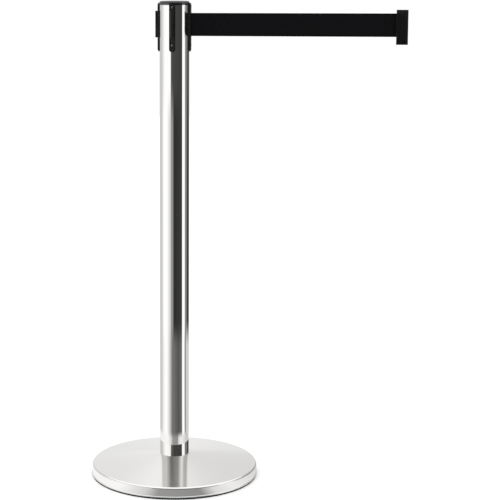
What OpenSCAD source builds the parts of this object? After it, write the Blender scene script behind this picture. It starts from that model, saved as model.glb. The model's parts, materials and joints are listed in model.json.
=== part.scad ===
// Retractable belt stanchion: a weighted spun base, a polished tube and a belt
// head with three receivers and one outlet, the belt drawn part of the way out.
// The origin is on the post's axis at the floor, +Z up, +X along the belt, and
// the front is -Y. Millimetres.

/* [Post] */
// Height over the cap
total_h = 1024; // [700:1:1300]
// Outside diameter of the tube
post_d = 63; // [62:0.5:80]
// Wall of the tube
post_wall = 1.5; // [1:0.1:2]

/* [Base] */
// Diameter over the lower bead
base_d = 360; // [260:1:450]
// Height of the corner where the cone meets the rim
rim_h = 25; // [18:0.5:32]
// Height of the seat that the tube stands on
foot_h = 45; // [42:1:60]
// Sheet thickness of the cover
cover_wall = 1.2; // [0.8:0.1:2]
// Outside radius of the cover's shoulder
shoulder_r = 4; // [2.5:0.5:8]
// Section radius of the rolled bead
bead_r = 1.6; // [1:0.1:2.5]
// How far the bead stands out past the rim
bead_out = 1.2; // [0.6:0.1:2]
// Thickness of the floor ring
ring_t = 3; // [2:0.5:6]
// Radial width of the floor ring
ring_w = 10.5; // [6:0.5:20]
// Thickness of the cast weight's plate
plate_t = 7; // [5:0.5:12]
// Radius of the weight's hub where it meets the plate
hub_foot_r = 75; // [50:1:100]
// Radius of the recess under the weight for the bolt head
recess_r = 15; // [13:0.5:20]
// Depth of that recess
recess_h = 20; // [16:1:24]
// Thread diameter of the base bolt
bolt_d = 12; // [10:1:14]
// Thickness of the threaded insert in the tube
insert_t = 12; // [8:1:25]

/* [Head] */
// Height of the cap above the tube
cap_h = 9.5; // [8:0.5:14]
// How far the cap stands out past the tube
cap_over = 0.7; // [0.3:0.1:1.5]
// Rounding of the cap's edge
cap_round = 4.5; // [2:0.5:6]
// Rise of the cap's dome
cap_dome = 1; // [0.5:0.1:2]
// From the top of the cap to the belt's upper edge
head_over = 26; // [24:0.5:36]
// Width of a receiver strip
strip_w = 13; // [12:0.5:16]
// How far a strip stands out from the tube
strip_out = 3.8; // [3.6:0.1:6]
// Thickness of the strip's wider lower layer
strip_low = 2.6; // [2:0.1:3]
// Inset of the raised layer on each side
strip_inset = 1.7; // [1:0.1:2.5]
// Height of a strip above the tube's end
strip_over = 4.5; // [2:0.5:6]
// Width of the receiver rail's stem
stem_w = 4; // [3:0.5:5]
// Length of the stem
stem_l = 3; // [2.5:0.1:4]
// Width of the rail's head
rail_w = 9; // [8:0.5:10]
// Thickness of the rail's head
rail_t = 2.3; // [2:0.1:3]
// Width of the belt slot in the outlet
outlet_slot = 2.4; // [1.8:0.1:3.4]

/* [Belt] */
// Width of the belt
belt_w = 48; // [36:1:60]
// Thickness of the belt
belt_t = 0.5; // [0.4:0.05:0.6]
// Length of the whole belt
belt_len = 2100; // [1700:10:2550]
// Length drawn out between the outlet and the clip
drawn_len = 425; // [60:1:1400]
// Length of the sewn hem that shows beside the clip
hem_out = 6; // [3:0.5:8]

/* [Reel] */
// Radius of the reel's core
core_r = 9; // [8.5:0.5:11]
// Diameter of the axle
axle_d = 8; // [6:0.5:8]
// Thickness of each flange
flange_t = 2; // [1.5:0.5:3]
// How far the flanges stand past the full roll
flange_lip = 1; // [0.5:0.1:2]
// Radius of the hub under the lower flange
hub_r = 12; // [10:0.5:14]
// Length of that hub
hub_len = 8.7; // [5:0.1:12]
// Thickness of the brake ring
brake_t = 3; // [2:0.5:4]
// Radius of the guide rollers
roller_r = 3; // [2.5:0.1:3.2]
// Radius of the rollers' pins
roller_pin_r = 1; // [0.8:0.1:1.2]
// Width of the power spring's strip
spring_w = 10.5; // [8:0.5:14]
// Thickness of the power spring's strip
spring_t = 0.4; // [0.3:0.05:0.5]
// Turns of the power spring
spring_turns = 8; // [6:1:10]
// Radial thickness of the cassette's pillars
pillar_t = 4.8; // [4.4:0.1:5.2]
// Thickness of the cassette's floor and of its top plate
floor_t = 3; // [2.5:0.5:4]
// Thickness of the spring's lid
lid_t = 2; // [1.5:0.5:3]

/* [Clip] */
// Depth of the clip along the belt
clip_len = 24; // [22:0.5:32]
// Thickness of the clip
clip_t = 16; // [15:0.5:20]
// Height of the clip above the belt
clip_over = 7.4; // [7:0.1:12]
// Height of the clip below the belt
clip_under = 15.7; // [14:0.1:22]
// Thickness of the roof that rests on a rail's top
roof_t = 3; // [2:0.5:4]
// Thickness of the clip's cover
lid_plate_t = 2; // [1.5:0.1:2.5]
// Width of the margin beside the cover
cover_margin = 4.4; // [3:0.1:5]
// Radius of the pin that holds the belt's hem
hem_pin_r = 1.5; // [1.2:0.1:1.8]

/* [Fasteners] */
// Radius of the receiver screws
screw_r = 1.5; // [1.2:0.1:1.6]
// Radius of the small screws in the cassette and clip
small_r = 1.25; // [1:0.05:1.4]

/* [Fits] */
// Gap between the cassette and the tube
tube_gap = 0.2; // [0.1:0.05:0.4]
// Gap of a pressed joint
press_gap = 0.02; // [0.01:0.01:0.03]
// Gap of a running joint
run_gap = 0.05; // [0.03:0.01:0.1]
// Gap around a screw in its hole
screw_gap = 0.1; // [0.05:0.05:0.3]
// Gap between a docked clip and a rail
dock_gap = 0.5; // [0.3:0.1:0.6]
// Gap between moving pieces side by side
move_gap = 0.45; // [0.3:0.05:0.8]
// Gap between the belt and each roller
belt_gap = 0.3; // [0.2:0.05:0.5]

/* [Hidden] */
$fn = 96;
eps = 0.01;

// Post and base
post_r = post_d / 2;
post_ri = post_r - post_wall;
tube_top = total_h - cap_h;
bolt_r = bolt_d / 2;
bolt_hole_r = bolt_r + 0.75;
bead_x = base_d / 2 - bead_r;
rim_r = base_d / 2 - bead_out;
foot_r = post_r + 0.8;
cone_slope = (foot_h - rim_h) / (rim_r - foot_r);
ring_r = bead_x + 0.2;
weight_r = rim_r - cover_wall - 1;
seat_z = foot_h - cover_wall;
recess_top = ring_t + recess_h;
washer_t = 2.5;
bolt_head_h = 7.5;
bolt_head_r = 0.866 * bolt_d;

// Belt and reel
belt_top = total_h - head_over;
belt_low = belt_top - belt_w;
full_r = sqrt(core_r * core_r + belt_len * belt_t / PI);
roll_r = sqrt(core_r * core_r + (belt_len - drawn_len) * belt_t / PI);
flange_r = full_r + flange_lip;
side_gap = 0.5;
reel_low = belt_low - side_gap - flange_t;
reel_high = belt_top + side_gap + flange_t;
axle_r = axle_d / 2;
anchor_r = 1.2;
anchor_x = core_r - 2.4;
anchor_hole_r = anchor_r + belt_t + 0.2;

// Guide rollers, one each side of the belt
roller_y = roller_r + belt_gap + belt_t / 2;
roller_dist = flange_r + move_gap + roller_r;
roller_x = sqrt(roller_dist * roller_dist - roller_y * roller_y);

// Cassette
case_r = post_ri - tube_gap;
pillar_in = case_r - pillar_t;
screw_ring_r = (case_r + pillar_in) / 2;
plate_low = reel_high + 2.5;
plate_top = plate_low + floor_t;
plug_seat_r = pillar_in - 0.5;
brake_low = reel_low - hub_len - 0.3 - brake_t;
lid_low = brake_low - lid_t;
spring_room = spring_w + 1;
floor_top = lid_low - spring_room;
case_low = floor_top - floor_t;
case_rim = brake_low + 0.5;
lid_r = roller_dist - roller_pin_r - 1;
spring_room_r = lid_r - 1.3;
bush_r = axle_r + 2;
bush_flange_r = axle_r + 3.5;
bush_flange_t = 1.2;
circlip_t = 0.8;
circlip_low = case_low - bush_flange_t - 0.3 - circlip_t;
circlip_high = plate_top + 0.3;
spring_r = spring_room_r - 0.4;
spring_start_r = axle_r + 0.6;
spring_end_a = 45;
spring_hook = 2;
cheek_y = roller_y + roller_r + 0.95;
cheek_w = 4.5;
cheek_mid = cheek_y + cheek_w / 2;
offset_y = 4.2;
pillar_angles = [90, 180, 270];
cassette_screw_angles = concat(
    [for (a = pillar_angles) a + asin(offset_y / screw_ring_r)],
    [for (s = [-1, 1]) s * asin(cheek_mid / screw_ring_r)]);

// Receiver strips
strip_face = post_r + strip_out;
strip_top = tube_top + strip_over;
strip_bottom = case_low - 1.2;
strip_screw_z = [case_low + 12.2, tube_top - 4.5];
strip_angles = [0, 90, 180, 270];
rail_top = belt_top + clip_over - roof_t;
rail_low = belt_low - 3.2;
screw_head_r = screw_r + 1.1;
screw_head_t = 1.6;
screw_sink = 1.9;
window_w = strip_w - 4;

// Clip
clip_x = strip_face + drawn_len;
clip_far = clip_x + clip_len;
clip_low = belt_low - clip_under;
clip_top = belt_top + clip_over;
clip_h = clip_top - clip_low;
lip_t = stem_l - 2 * dock_gap;
channel_t = rail_t + 2 * dock_gap;
channel_w = rail_w + 2 * dock_gap;
mouth_w = stem_w + 2 * dock_gap;
clip_edge = 0.8;
cover_top = belt_top - 0.5;
cover_len = clip_len - cover_margin;
cover_face = clip_t / 2 - lid_plate_t;
wall_near = 3;
pocket_len = 13;
hem_slot = belt_t + 0.4;
hem_pin_x = clip_x + 8.5;
hem_loop_r = hem_pin_r + press_gap + belt_t;
pin_reach = 2.5;
small_head_r = small_r + 0.95;
small_head_t = 1.2;
clip_screw_z = clip_low + 6.8;
clip_screw_x = [clip_x + 4.6, clip_x + clip_len - 8.4];

// A tube between two heights
module ring(r_out, r_in, z_low, z_high) {
    translate([0, 0, z_low])
        difference() {
            cylinder(h = z_high - z_low, r = r_out);
            translate([0, 0, -1]) cylinder(h = z_high - z_low + 2, r = r_in);
        }
}

// A disc between two heights
module disc(r, z_low, z_high) {
    translate([0, 0, z_low]) cylinder(h = z_high - z_low, r = r);
}

// A box from its low corner to its high corner
module block(low, high) {
    translate(low) cube(high - low);
}

// A cylinder along X, from x_low to x_high, at a height
module rod_x(r, x_low, x_high, z) {
    translate([x_low, 0, z]) rotate([0, 90, 0]) cylinder(h = x_high - x_low, r = r, $fn = 48);
}

// ---- Base ----

// Half section of the solid under a cover's skin that lies a depth inside the outer one
module cover_section(depth) {
    r = rim_r - depth;
    round_r = shoulder_r - depth;
    foot_z = foot_h - depth;
    low_z = ring_t + bead_r;
    fillet_z = foot_z - cone_slope * (r - round_r - foot_r) - round_r * sqrt(1 + cone_slope * cone_slope);
    tangent_a = atan(cone_slope);
    tangent_x = r - round_r + round_r * sin(tangent_a);
    tangent_z = fillet_z + round_r * cos(tangent_a);
    polygon([[0, low_z], [r, low_z], [r, fillet_z], [r - round_r, fillet_z],
        [tangent_x, tangent_z], [foot_r, foot_z], [0, foot_z]]);
    translate([r - round_r, fillet_z]) circle(r = round_r);
}

module floor_ring() {
    color("dimgray") ring(ring_r, ring_r - ring_w, 0, ring_t);
}

module base_cover() {
    color("gainsboro")
        rotate_extrude($fn = 180)
            union() {
                difference() {
                    cover_section(0);
                    cover_section(cover_wall);
                    translate([0, ring_t]) square([bolt_hole_r, foot_h]);
                    square([rim_r - cover_wall, ring_t + 2 * bead_r]);
                }
                translate([bead_x, ring_t + bead_r + 0.05]) circle(r = bead_r);
            }
}

module base_weight() {
    color("darkslategray")
        difference() {
            rotate_extrude($fn = 180)
                polygon([[0, ring_t], [weight_r, ring_t], [weight_r, ring_t + plate_t],
                    [hub_foot_r, ring_t + plate_t], [post_r - 1.5, seat_z], [0, seat_z]]);
            disc(recess_r, 0, recess_top);
            disc(bolt_hole_r, 0, foot_h);
        }
}

module base_washer() {
    color("silver") ring(recess_r - 3, bolt_r + 0.5, recess_top - washer_t, recess_top);
}

module base_bolt() {
    head_low = recess_top - washer_t - bolt_head_h;
    color("silver")
        union() {
            translate([0, 0, head_low]) cylinder(h = bolt_head_h, r = bolt_head_r, $fn = 6);
            disc(bolt_r, head_low + 1, foot_h + insert_t + 2);
        }
}

module post_insert() {
    color("silver") ring(post_ri - press_gap, bolt_r + run_gap, foot_h, foot_h + insert_t);
}

// ---- Tube and head ----

module post_tube() {
    color("whitesmoke")
        difference() {
            ring(post_r, post_ri, foot_h, tube_top);
            block([0, -window_w / 2, belt_low - 2], [post_r + 1, window_w / 2, belt_top + 2]);
            for (a = strip_angles, z = strip_screw_z)
                rotate([0, 0, a]) rod_x(screw_r + 2 * screw_gap, post_ri - 2, post_r + 2, z);
        }
}

// Half section of the cap's outside
module cap_section() {
    r = post_r + cap_over;
    edge_z = total_h - cap_dome - cap_round;
    dome_r = (r * r + cap_dome * cap_dome) / (2 * cap_dome);
    intersection() {
        union() {
            translate([0, tube_top]) square([r, edge_z - tube_top]);
            translate([0, tube_top]) square([r - cap_round, cap_h]);
            translate([r - cap_round, edge_z]) circle(r = cap_round);
        }
        translate([0, total_h - dome_r]) circle(r = dome_r, $fn = 720);
        translate([0, tube_top]) square([r + 1, cap_h]);
    }
}

module head_cap() {
    plug_r = plug_seat_r - tube_gap;
    hollow_r = plug_r - 2;
    color("#1c1c1e")
        rotate_extrude()
            union() {
                difference() {
                    cap_section();
                    square([hollow_r, total_h - cap_dome - 2.5]);
                }
                translate([hollow_r, plate_top + 1.5]) square([2, tube_top - plate_top - 1.5 + eps]);
            }
}

// Outline of a strip, x across it and y up it
module strip_outline(inset) {
    w = strip_w / 2 - inset;
    low = strip_bottom + inset;
    high = strip_top - inset;
    tip = 3.2;
    corner = 2;
    polygon([[w - tip, low], [w, low + tip], [w, high - corner], [w - corner, high],
        [corner - w, high], [-w, high - corner], [-w, low + tip], [tip - w, low]]);
}

// A slab with a strip's outline between two distances from the axis
module strip_layer(inset, x_low, x_high) {
    translate([x_low, 0, 0]) rotate([90, 0, 90])
        linear_extrude(height = x_high - x_low) strip_outline(inset);
}

// A strip without rail or slot, on the +X side
module plain_strip() {
    difference() {
        union() {
            strip_layer(0, post_r - 2, post_r + strip_low);
            strip_layer(strip_inset, post_r, strip_face);
        }
        disc(post_r + press_gap, 0, total_h);
        disc(post_r + cap_over + 0.15, tube_top - 0.2, total_h);
        for (z = strip_screw_z) {
            rod_x(screw_r + screw_gap, post_r - 3, strip_face + 1, z);
            rod_x(screw_head_r + 0.3, strip_face - screw_sink, strip_face + 1, z);
        }
    }
}

// The rail that a clip slides down on
module rail() {
    flank_w = 2.6;
    flank_t = 0.9;
    head_x = strip_face + stem_l;
    union() {
        block([strip_face - 1, -stem_w / 2, rail_low], [head_x + eps, stem_w / 2, rail_top]);
        translate([0, 0, rail_low])
            linear_extrude(height = rail_top - rail_low)
                polygon([[head_x, -rail_w / 2], [head_x + rail_t - flank_t, -rail_w / 2],
                    [head_x + rail_t, flank_w - rail_w / 2], [head_x + rail_t, rail_w / 2 - flank_w],
                    [head_x + rail_t - flank_t, rail_w / 2], [head_x, rail_w / 2]]);
    }
}

module receiver() {
    color("#202022")
        union() {
            plain_strip();
            rail();
        }
}

module receiver_front() {
    rotate([0, 0, 270]) receiver();
}

module receiver_rear() {
    rotate([0, 0, 90]) receiver();
}

module receiver_left() {
    rotate([0, 0, 180]) receiver();
}

module belt_outlet() {
    slot = outlet_slot / 2;
    bevel = 0.8;
    color("#202022")
        difference() {
            plain_strip();
            block([post_r - 3, -slot, belt_low - 1.1], [strip_face + 1, slot, belt_top + 1.1]);
            translate([0, 0, belt_low - 1.1])
                linear_extrude(height = belt_w + 2.2)
                    polygon([[strip_face - bevel, -slot], [strip_face + eps, -slot - bevel],
                        [strip_face + eps, slot + bevel], [strip_face - bevel, slot]]);
        }
}

// A pan-head screw along -X with a hexagonal socket, its head's face at x_face
module pan_screw(r, head_r, head_t, x_face, x_tip) {
    difference() {
        union() {
            rod_x(head_r, x_face - head_t, x_face, 0);
            rod_x(r, x_tip, x_face - head_t + eps, 0);
        }
        translate([x_face - head_t / 2, 0, 0]) rotate([0, 90, 0])
            cylinder(h = head_t, r = r * 0.7, $fn = 6);
    }
}

module receiver_screws() {
    x_face = strip_face - screw_sink + screw_head_t;
    color("silver")
        for (a = strip_angles, z = strip_screw_z)
            rotate([0, 0, a]) translate([0, 0, z])
                pan_screw(screw_r, screw_head_r, screw_head_t, x_face, pillar_in + 1);
}

// ---- Cassette ----

// A block of the cassette's ring, at an angle, between two widths across it
module ring_block(angle, y_low, y_high, z_low, z_high) {
    intersection() {
        ring(case_r, pillar_in, z_low, z_high);
        rotate([0, 0, angle]) block([0, y_low, z_low], [case_r + 1, y_high, z_high]);
    }
}

module cassette_frame() {
    notch_w = 1.6;
    color("#303034")
        difference() {
            union() {
                disc(case_r, case_low, case_rim);
                for (a = pillar_angles)
                    ring_block(a, -strip_w / 2, strip_w / 2, case_rim - 1, plate_low);
                for (s = [-1, 1])
                    ring_block(0, s * cheek_mid - cheek_w / 2, s * cheek_mid + cheek_w / 2,
                        case_rim - 1, plate_low);
            }
            disc(spring_room_r, floor_top, case_rim + 1);
            disc(lid_r, lid_low, case_rim + 1);
            disc(bush_r + press_gap, case_low - 1, case_rim);
            rotate([0, 0, spring_end_a])
                block([spring_room_r - 1, -notch_w / 2, floor_top],
                    [spring_room_r + spring_hook, notch_w / 2, case_rim + 1]);
            for (a = strip_angles)
                rotate([0, 0, a]) rod_x(screw_r + run_gap, pillar_in + 0.5, case_r + 1, strip_screw_z[0]);
            for (a = cassette_screw_angles)
                rotate([0, 0, a]) translate([screw_ring_r, 0, 0])
                    disc(small_r + run_gap, plate_low - 9, plate_low + 1, $fn = 48);
            for (s = [-1, 1])
                translate([roller_x, s * roller_y, 0])
                    disc(roller_pin_r + press_gap, case_rim - 4, case_rim + 1, $fn = 48);
        }
}

module cassette_top() {
    color("#303034")
        difference() {
            disc(case_r, plate_low, tube_top - 0.3);
            disc(plug_seat_r, plate_top, tube_top);
            disc(bush_r + press_gap, plate_low - 1, tube_top);
            for (a = strip_angles)
                rotate([0, 0, a]) rod_x(screw_r + run_gap, pillar_in + 0.5, case_r + 1, strip_screw_z[1]);
            for (a = cassette_screw_angles)
                rotate([0, 0, a]) translate([screw_ring_r, 0, 0]) {
                    disc(small_r + screw_gap, plate_low - 1, tube_top, $fn = 48);
                    disc(small_head_r + screw_gap, plate_top - 0.5, tube_top, $fn = 48);
                }
            for (s = [-1, 1])
                translate([roller_x, s * roller_y, 0])
                    disc(roller_pin_r + press_gap, plate_low - 1, plate_low + 2, $fn = 48);
        }
}

module cassette_screws() {
    color("silver")
        for (a = cassette_screw_angles)
            rotate([0, 0, a]) translate([screw_ring_r, 0, 0]) {
                disc(small_head_r, plate_top - 0.5, plate_top - 0.5 + small_head_t, $fn = 48);
                disc(small_r, plate_low - 8, plate_top - 0.5 + eps, $fn = 48);
            }
}

module bush_lower() {
    color("tan")
        union() {
            ring(bush_r, axle_r + run_gap, case_low - eps, floor_top);
            ring(bush_flange_r, axle_r + run_gap, case_low - bush_flange_t, case_low);
        }
}

module bush_upper() {
    color("tan")
        union() {
            ring(bush_r, axle_r + run_gap, plate_low - eps, plate_top);
            ring(bush_flange_r, axle_r + run_gap, plate_low - bush_flange_t, plate_low);
        }
}

// Points of the spring's spiral, one side of its strip, at a radius offset
function spring_side(offset_r) =
    let (steps = 24 * spring_turns + 3)
        [for (i = [0 : steps])
            let (a = 15 * i, r = spring_start_r + (spring_r - spring_start_r) * i / steps + offset_r)
                [r * cos(a), r * sin(a)]];

function reversed(list) = [for (i = [len(list) - 1 : -1 : 0]) list[i]];

module power_spring() {
    half = spring_t / 2;
    color("steelblue")
        translate([0, 0, floor_top + 0.5])
            linear_extrude(height = spring_w)
                union() {
                    polygon(concat(spring_side(half), reversed(spring_side(-half))));
                    translate([axle_r - 2.2, -half]) square([spring_start_r - axle_r + 2.2, spring_t]);
                    rotate([0, 0, spring_end_a])
                        translate([spring_r - half, -half]) square([spring_hook, spring_t]);
                }
}

module spring_lid() {
    color("#404044") ring(lid_r - tube_gap, axle_r + 0.6, lid_low, brake_low);
}

module brake_ring() {
    color("firebrick") ring(hub_r, axle_r + 2, brake_low, brake_low + brake_t);
}

module roller_pins() {
    color("silver")
        for (s = [-1, 1])
            translate([roller_x, s * roller_y, 0])
                disc(roller_pin_r, case_rim - 4, plate_low + 2, $fn = 48);
}

// ---- Belt run inside the head ----

// The belt leaves the roll on the rear side and turns round the rear roller
module belt_lead() {
    half = belt_t / 2;
    roll_path = roll_r + belt_gap + half;
    leave_a = atan2(roller_y, roller_x) + acos((roll_path + roller_y) / roller_dist);
    leave = [cos(leave_a), sin(leave_a)];
    turn = [for (i = [0 : 12]) let (a = 180 + leave_a + (90 - leave_a) * i / 12) [cos(a), sin(a)]];
    roller = [roller_x, roller_y];
    color("#141414")
        translate([0, 0, belt_low])
            linear_extrude(height = belt_w)
                polygon(concat([(roll_path + half) * leave],
                    [for (u = turn) roller + (roller_y - half) * u],
                    reversed([for (u = turn) roller + (roller_y + half) * u]),
                    [(roll_path - half) * leave]));
}

// ---- Reel ----

module reel_axle() {
    groove_r = axle_r - 0.6;
    color("silver")
        difference() {
            disc(axle_r, circlip_low - 1, circlip_high + circlip_t + 1);
            block([axle_r - 2.5, -0.45, floor_top - 0.2], [axle_r + 1, 0.45, lid_low + 0.2]);
            for (z = [circlip_low, circlip_high])
                ring(axle_r + 1, groove_r, z - press_gap, z + circlip_t + press_gap);
        }
}

module axle_clips() {
    mouth = 5;
    color("darkgray")
        for (z = [circlip_low, circlip_high])
            difference() {
                ring(bush_flange_r - 0.8, axle_r - 0.6 + press_gap, z, z + circlip_t);
                block([0, -mouth / 2, z - 1], [bush_flange_r, mouth / 2, z + circlip_t + 1]);
            }
}

module lower_flange() {
    color("#3a3a40")
        difference() {
            union() {
                disc(flange_r, reel_low, reel_low + flange_t);
                disc(hub_r, reel_low - hub_len, reel_low + eps);
            }
            disc(axle_r + press_gap, 0, total_h);
        }
}

module upper_flange() {
    color("#3a3a40") ring(flange_r, axle_r + press_gap, reel_high - flange_t, reel_high);
}

module reel_core() {
    slot = belt_t + 0.4;
    color("#50505a")
        difference() {
            ring(core_r, axle_r + press_gap, reel_low + flange_t, reel_high - flange_t);
            translate([anchor_x, 0, 0]) disc(anchor_hole_r, 0, total_h, $fn = 48);
            block([anchor_x, -slot / 2, 0], [core_r + 1, slot / 2, total_h]);
        }
}

module belt_anchor_pin() {
    color("silver") translate([anchor_x, 0, 0]) disc(anchor_r, belt_low, belt_top, $fn = 48);
}

module belt_roll() {
    loop_r = anchor_r + press_gap;
    color("#141414")
        translate([0, 0, belt_low])
            linear_extrude(height = belt_w)
                union() {
                    difference() {
                        circle(r = roll_r);
                        circle(r = core_r + press_gap);
                    }
                    translate([anchor_x + loop_r + belt_t / 2, -belt_t / 2])
                        square([core_r - anchor_x - loop_r, belt_t]);
                    translate([anchor_x, 0])
                        difference() {
                            circle(r = loop_r + belt_t, $fn = 48);
                            circle(r = loop_r, $fn = 48);
                        }
                }
}

// A guide roller on its pin, on one side of the belt
module guide_roller(side) {
    color("ivory")
        translate([roller_x, side * roller_y, 0])
            ring(roller_r, roller_pin_r + run_gap, case_rim + 0.3, plate_low - 0.3, $fn = 48);
}

module guide_roller_front() {
    guide_roller(-1);
}

module guide_roller_rear() {
    guide_roller(1);
}

// ---- Belt and clip ----

module belt() {
    color("#121212") block([roller_x, -belt_t / 2, belt_low], [clip_x - hem_out, belt_t / 2, belt_top]);
}

module belt_hem() {
    color("#121212")
        translate([0, 0, belt_low])
            linear_extrude(height = belt_w)
                union() {
                    translate([clip_x - hem_out, -belt_t])
                        square([hem_pin_x - hem_loop_r - clip_x + hem_out + belt_t, 2 * belt_t]);
                    translate([hem_pin_x, 0])
                        difference() {
                            circle(r = hem_loop_r, $fn = 48);
                            circle(r = hem_pin_r + press_gap, $fn = 48);
                        }
                }
}

module belt_pin() {
    color("silver")
        translate([hem_pin_x, 0, 0])
            disc(hem_pin_r, belt_low - pin_reach, belt_top + pin_reach, $fn = 48);
}

// Plan of the clip with its long edges broken
module clip_plan() {
    y = clip_t / 2;
    e = clip_edge;
    polygon([[clip_x, e - y], [clip_x + e, -y], [clip_far - e, -y], [clip_far, e - y],
        [clip_far, y - e], [clip_far - e, y], [clip_x + e, y], [clip_x, y - e]]);
}

module clip_body() {
    pocket = 0.5;
    seat_r = hem_pin_r + press_gap;
    color("#18181a")
        difference() {
            translate([0, 0, clip_low]) linear_extrude(height = clip_h) clip_plan();
            // rebate for the cover
            block([clip_x - 1, -clip_t, clip_low - 1], [clip_x + cover_len, -cover_face, cover_top]);
            // pocket for the hem, and its way in
            block([clip_x + wall_near, -cover_face - eps, belt_low - pocket],
                [clip_x + pocket_len, hem_loop_r + 0.6, belt_top + pocket]);
            block([clip_x - 1, -cover_face - eps, belt_low - pocket],
                [clip_x + wall_near + eps, hem_slot, belt_top + pocket]);
            // seats for the pin
            translate([hem_pin_x, 0, 0])
                disc(seat_r, belt_low - pin_reach - 0.1, belt_top + pin_reach + 0.1, $fn = 48);
            block([hem_pin_x - seat_r, -cover_face - eps, belt_low - pin_reach - 0.1],
                [hem_pin_x + seat_r, 0, belt_low]);
            // channel and mouth for a receiver rail, open below
            block([clip_far - lip_t - channel_t, -channel_w / 2, clip_low - 1],
                [clip_far - lip_t, channel_w / 2, clip_top - roof_t]);
            block([clip_far - lip_t - eps, -mouth_w / 2, clip_low - 1],
                [clip_far + 1, mouth_w / 2, clip_top - roof_t]);
            for (x = clip_screw_x)
                translate([x, 2.1, clip_screw_z]) rotate([90, 0, 0])
                    cylinder(h = clip_t, r = small_r + run_gap, $fn = 48);
        }
}

module clip_cover() {
    outer_y = -clip_t / 2;
    cover_end = clip_x + cover_len - 0.1;
    color("#18181a")
        difference() {
            union() {
                translate([0, 0, clip_low])
                    linear_extrude(height = cover_top - clip_low - 0.1)
                        polygon([[clip_x, -cover_face], [clip_x, outer_y + clip_edge],
                            [clip_x + clip_edge, outer_y], [cover_end, outer_y], [cover_end, -cover_face]]);
                block([clip_x, -cover_face - eps, belt_low - 0.3],
                    [clip_x + wall_near, -hem_slot, cover_top - 0.1]);
            }
            for (x = clip_screw_x)
                translate([x, 0, clip_screw_z]) rotate([90, 0, 0]) {
                    cylinder(h = clip_t, r = small_r + screw_gap, $fn = 48);
                    translate([0, 0, clip_t / 2 - small_head_t - 0.1])
                        cylinder(h = 2, r = small_head_r + screw_gap, $fn = 48);
                }
        }
}

module clip_screws() {
    color("dimgray")
        for (x = clip_screw_x)
            translate([x, 0, clip_screw_z]) rotate([0, 0, -90])
                pan_screw(small_r, small_head_r, small_head_t, clip_t / 2 - 0.1, -2);
}

floor_ring();
base_cover();
base_weight();
base_washer();
base_bolt();
post_insert();
post_tube();
head_cap();
receiver_front();
receiver_rear();
receiver_left();
belt_outlet();
receiver_screws();
cassette_frame();
cassette_top();
cassette_screws();
bush_lower();
bush_upper();
power_spring();
spring_lid();
brake_ring();
roller_pins();
belt_lead();
reel_axle();
axle_clips();
lower_flange();
reel_core();
upper_flange();
belt_anchor_pin();
belt_roll();
guide_roller_front();
guide_roller_rear();
belt();
belt_hem();
belt_pin();
clip_body();
clip_cover();
clip_screws();
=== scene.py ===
# Retractable belt stanchion: finishes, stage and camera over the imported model.
import bmesh
import bpy
import json
import math
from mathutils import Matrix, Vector


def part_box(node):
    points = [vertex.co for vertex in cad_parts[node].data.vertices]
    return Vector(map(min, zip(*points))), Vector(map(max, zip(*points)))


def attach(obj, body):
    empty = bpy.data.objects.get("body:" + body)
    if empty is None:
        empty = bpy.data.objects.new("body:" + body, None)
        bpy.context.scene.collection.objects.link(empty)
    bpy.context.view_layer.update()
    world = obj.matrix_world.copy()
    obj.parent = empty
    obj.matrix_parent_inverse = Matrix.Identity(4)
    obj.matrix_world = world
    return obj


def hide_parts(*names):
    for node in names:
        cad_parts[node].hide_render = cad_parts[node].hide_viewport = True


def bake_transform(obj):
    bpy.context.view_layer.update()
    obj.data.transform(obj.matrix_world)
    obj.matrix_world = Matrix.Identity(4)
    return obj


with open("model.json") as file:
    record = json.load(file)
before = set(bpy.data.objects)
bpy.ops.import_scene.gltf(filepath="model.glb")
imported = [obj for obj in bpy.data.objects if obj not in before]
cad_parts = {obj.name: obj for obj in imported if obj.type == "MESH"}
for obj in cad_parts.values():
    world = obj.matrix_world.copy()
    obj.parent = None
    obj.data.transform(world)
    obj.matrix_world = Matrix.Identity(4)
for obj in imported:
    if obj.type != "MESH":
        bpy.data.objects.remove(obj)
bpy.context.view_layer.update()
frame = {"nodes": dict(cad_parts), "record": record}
cadNodes = frame["nodes"]
scene = bpy.context.scene
scene.view_settings.view_transform = "Standard"  # keeps the white of the studio white
print("loaded", len(cadNodes), "nodes")


def hexColour(code):  # sRGB hex to linear RGBA
    levels = [int(code[i:i + 2], 16) / 255 for i in (1, 3, 5)]
    return [c / 12.92 if c <= 0.04045 else ((c + 0.055) / 1.055) ** 2.4 for c in levels] + [1.0]


def addNode(tree, kind, settings=None, values=None, links=None, stops=None):
    node = tree.nodes.new(kind)
    for key, value in (settings or {}).items():
        setattr(node, key, value)
    for key, value in (values or {}).items():
        node.inputs[key].default_value = value
    for key, source in (links or {}).items():
        tree.links.new(source, node.inputs[key])
    if stops:  # a colour ramp's stops, as position and colour
        ramp = node.color_ramp.elements
        while len(ramp) < len(stops):
            ramp.new(1.0)
        for element, (position, colour) in zip(ramp, stops):
            element.position = position
            element.color = colour
    return node


def startMaterial(name, **sockets):  # a principled material with its own constant values
    material = bpy.data.materials.new(name)
    material.use_nodes = True
    tree = material.node_tree
    shader = tree.nodes["Principled BSDF"]
    for key, value in sockets.items():
        shader.inputs[key.replace("_", " ")].default_value = value
    place = addNode(tree, "ShaderNodeTexCoord").outputs["Object"]
    return material, tree, shader, place


def addObject(name, verts, faces, edges=()):
    mesh = bpy.data.meshes.new(name)
    mesh.from_pydata([tuple(v) for v in verts], list(edges), faces)
    mesh.validate()
    thing = bpy.data.objects.new(name, mesh)
    scene.collection.objects.link(thing)
    return thing


def smoothBut(mesh, degrees):  # smooth faces, with a hard edge where the surface turns further than this
    mesh.polygons.foreach_set("use_smooth", [True] * len(mesh.polygons))
    mesh.set_sharp_from_angle(angle=math.radians(degrees))


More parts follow.
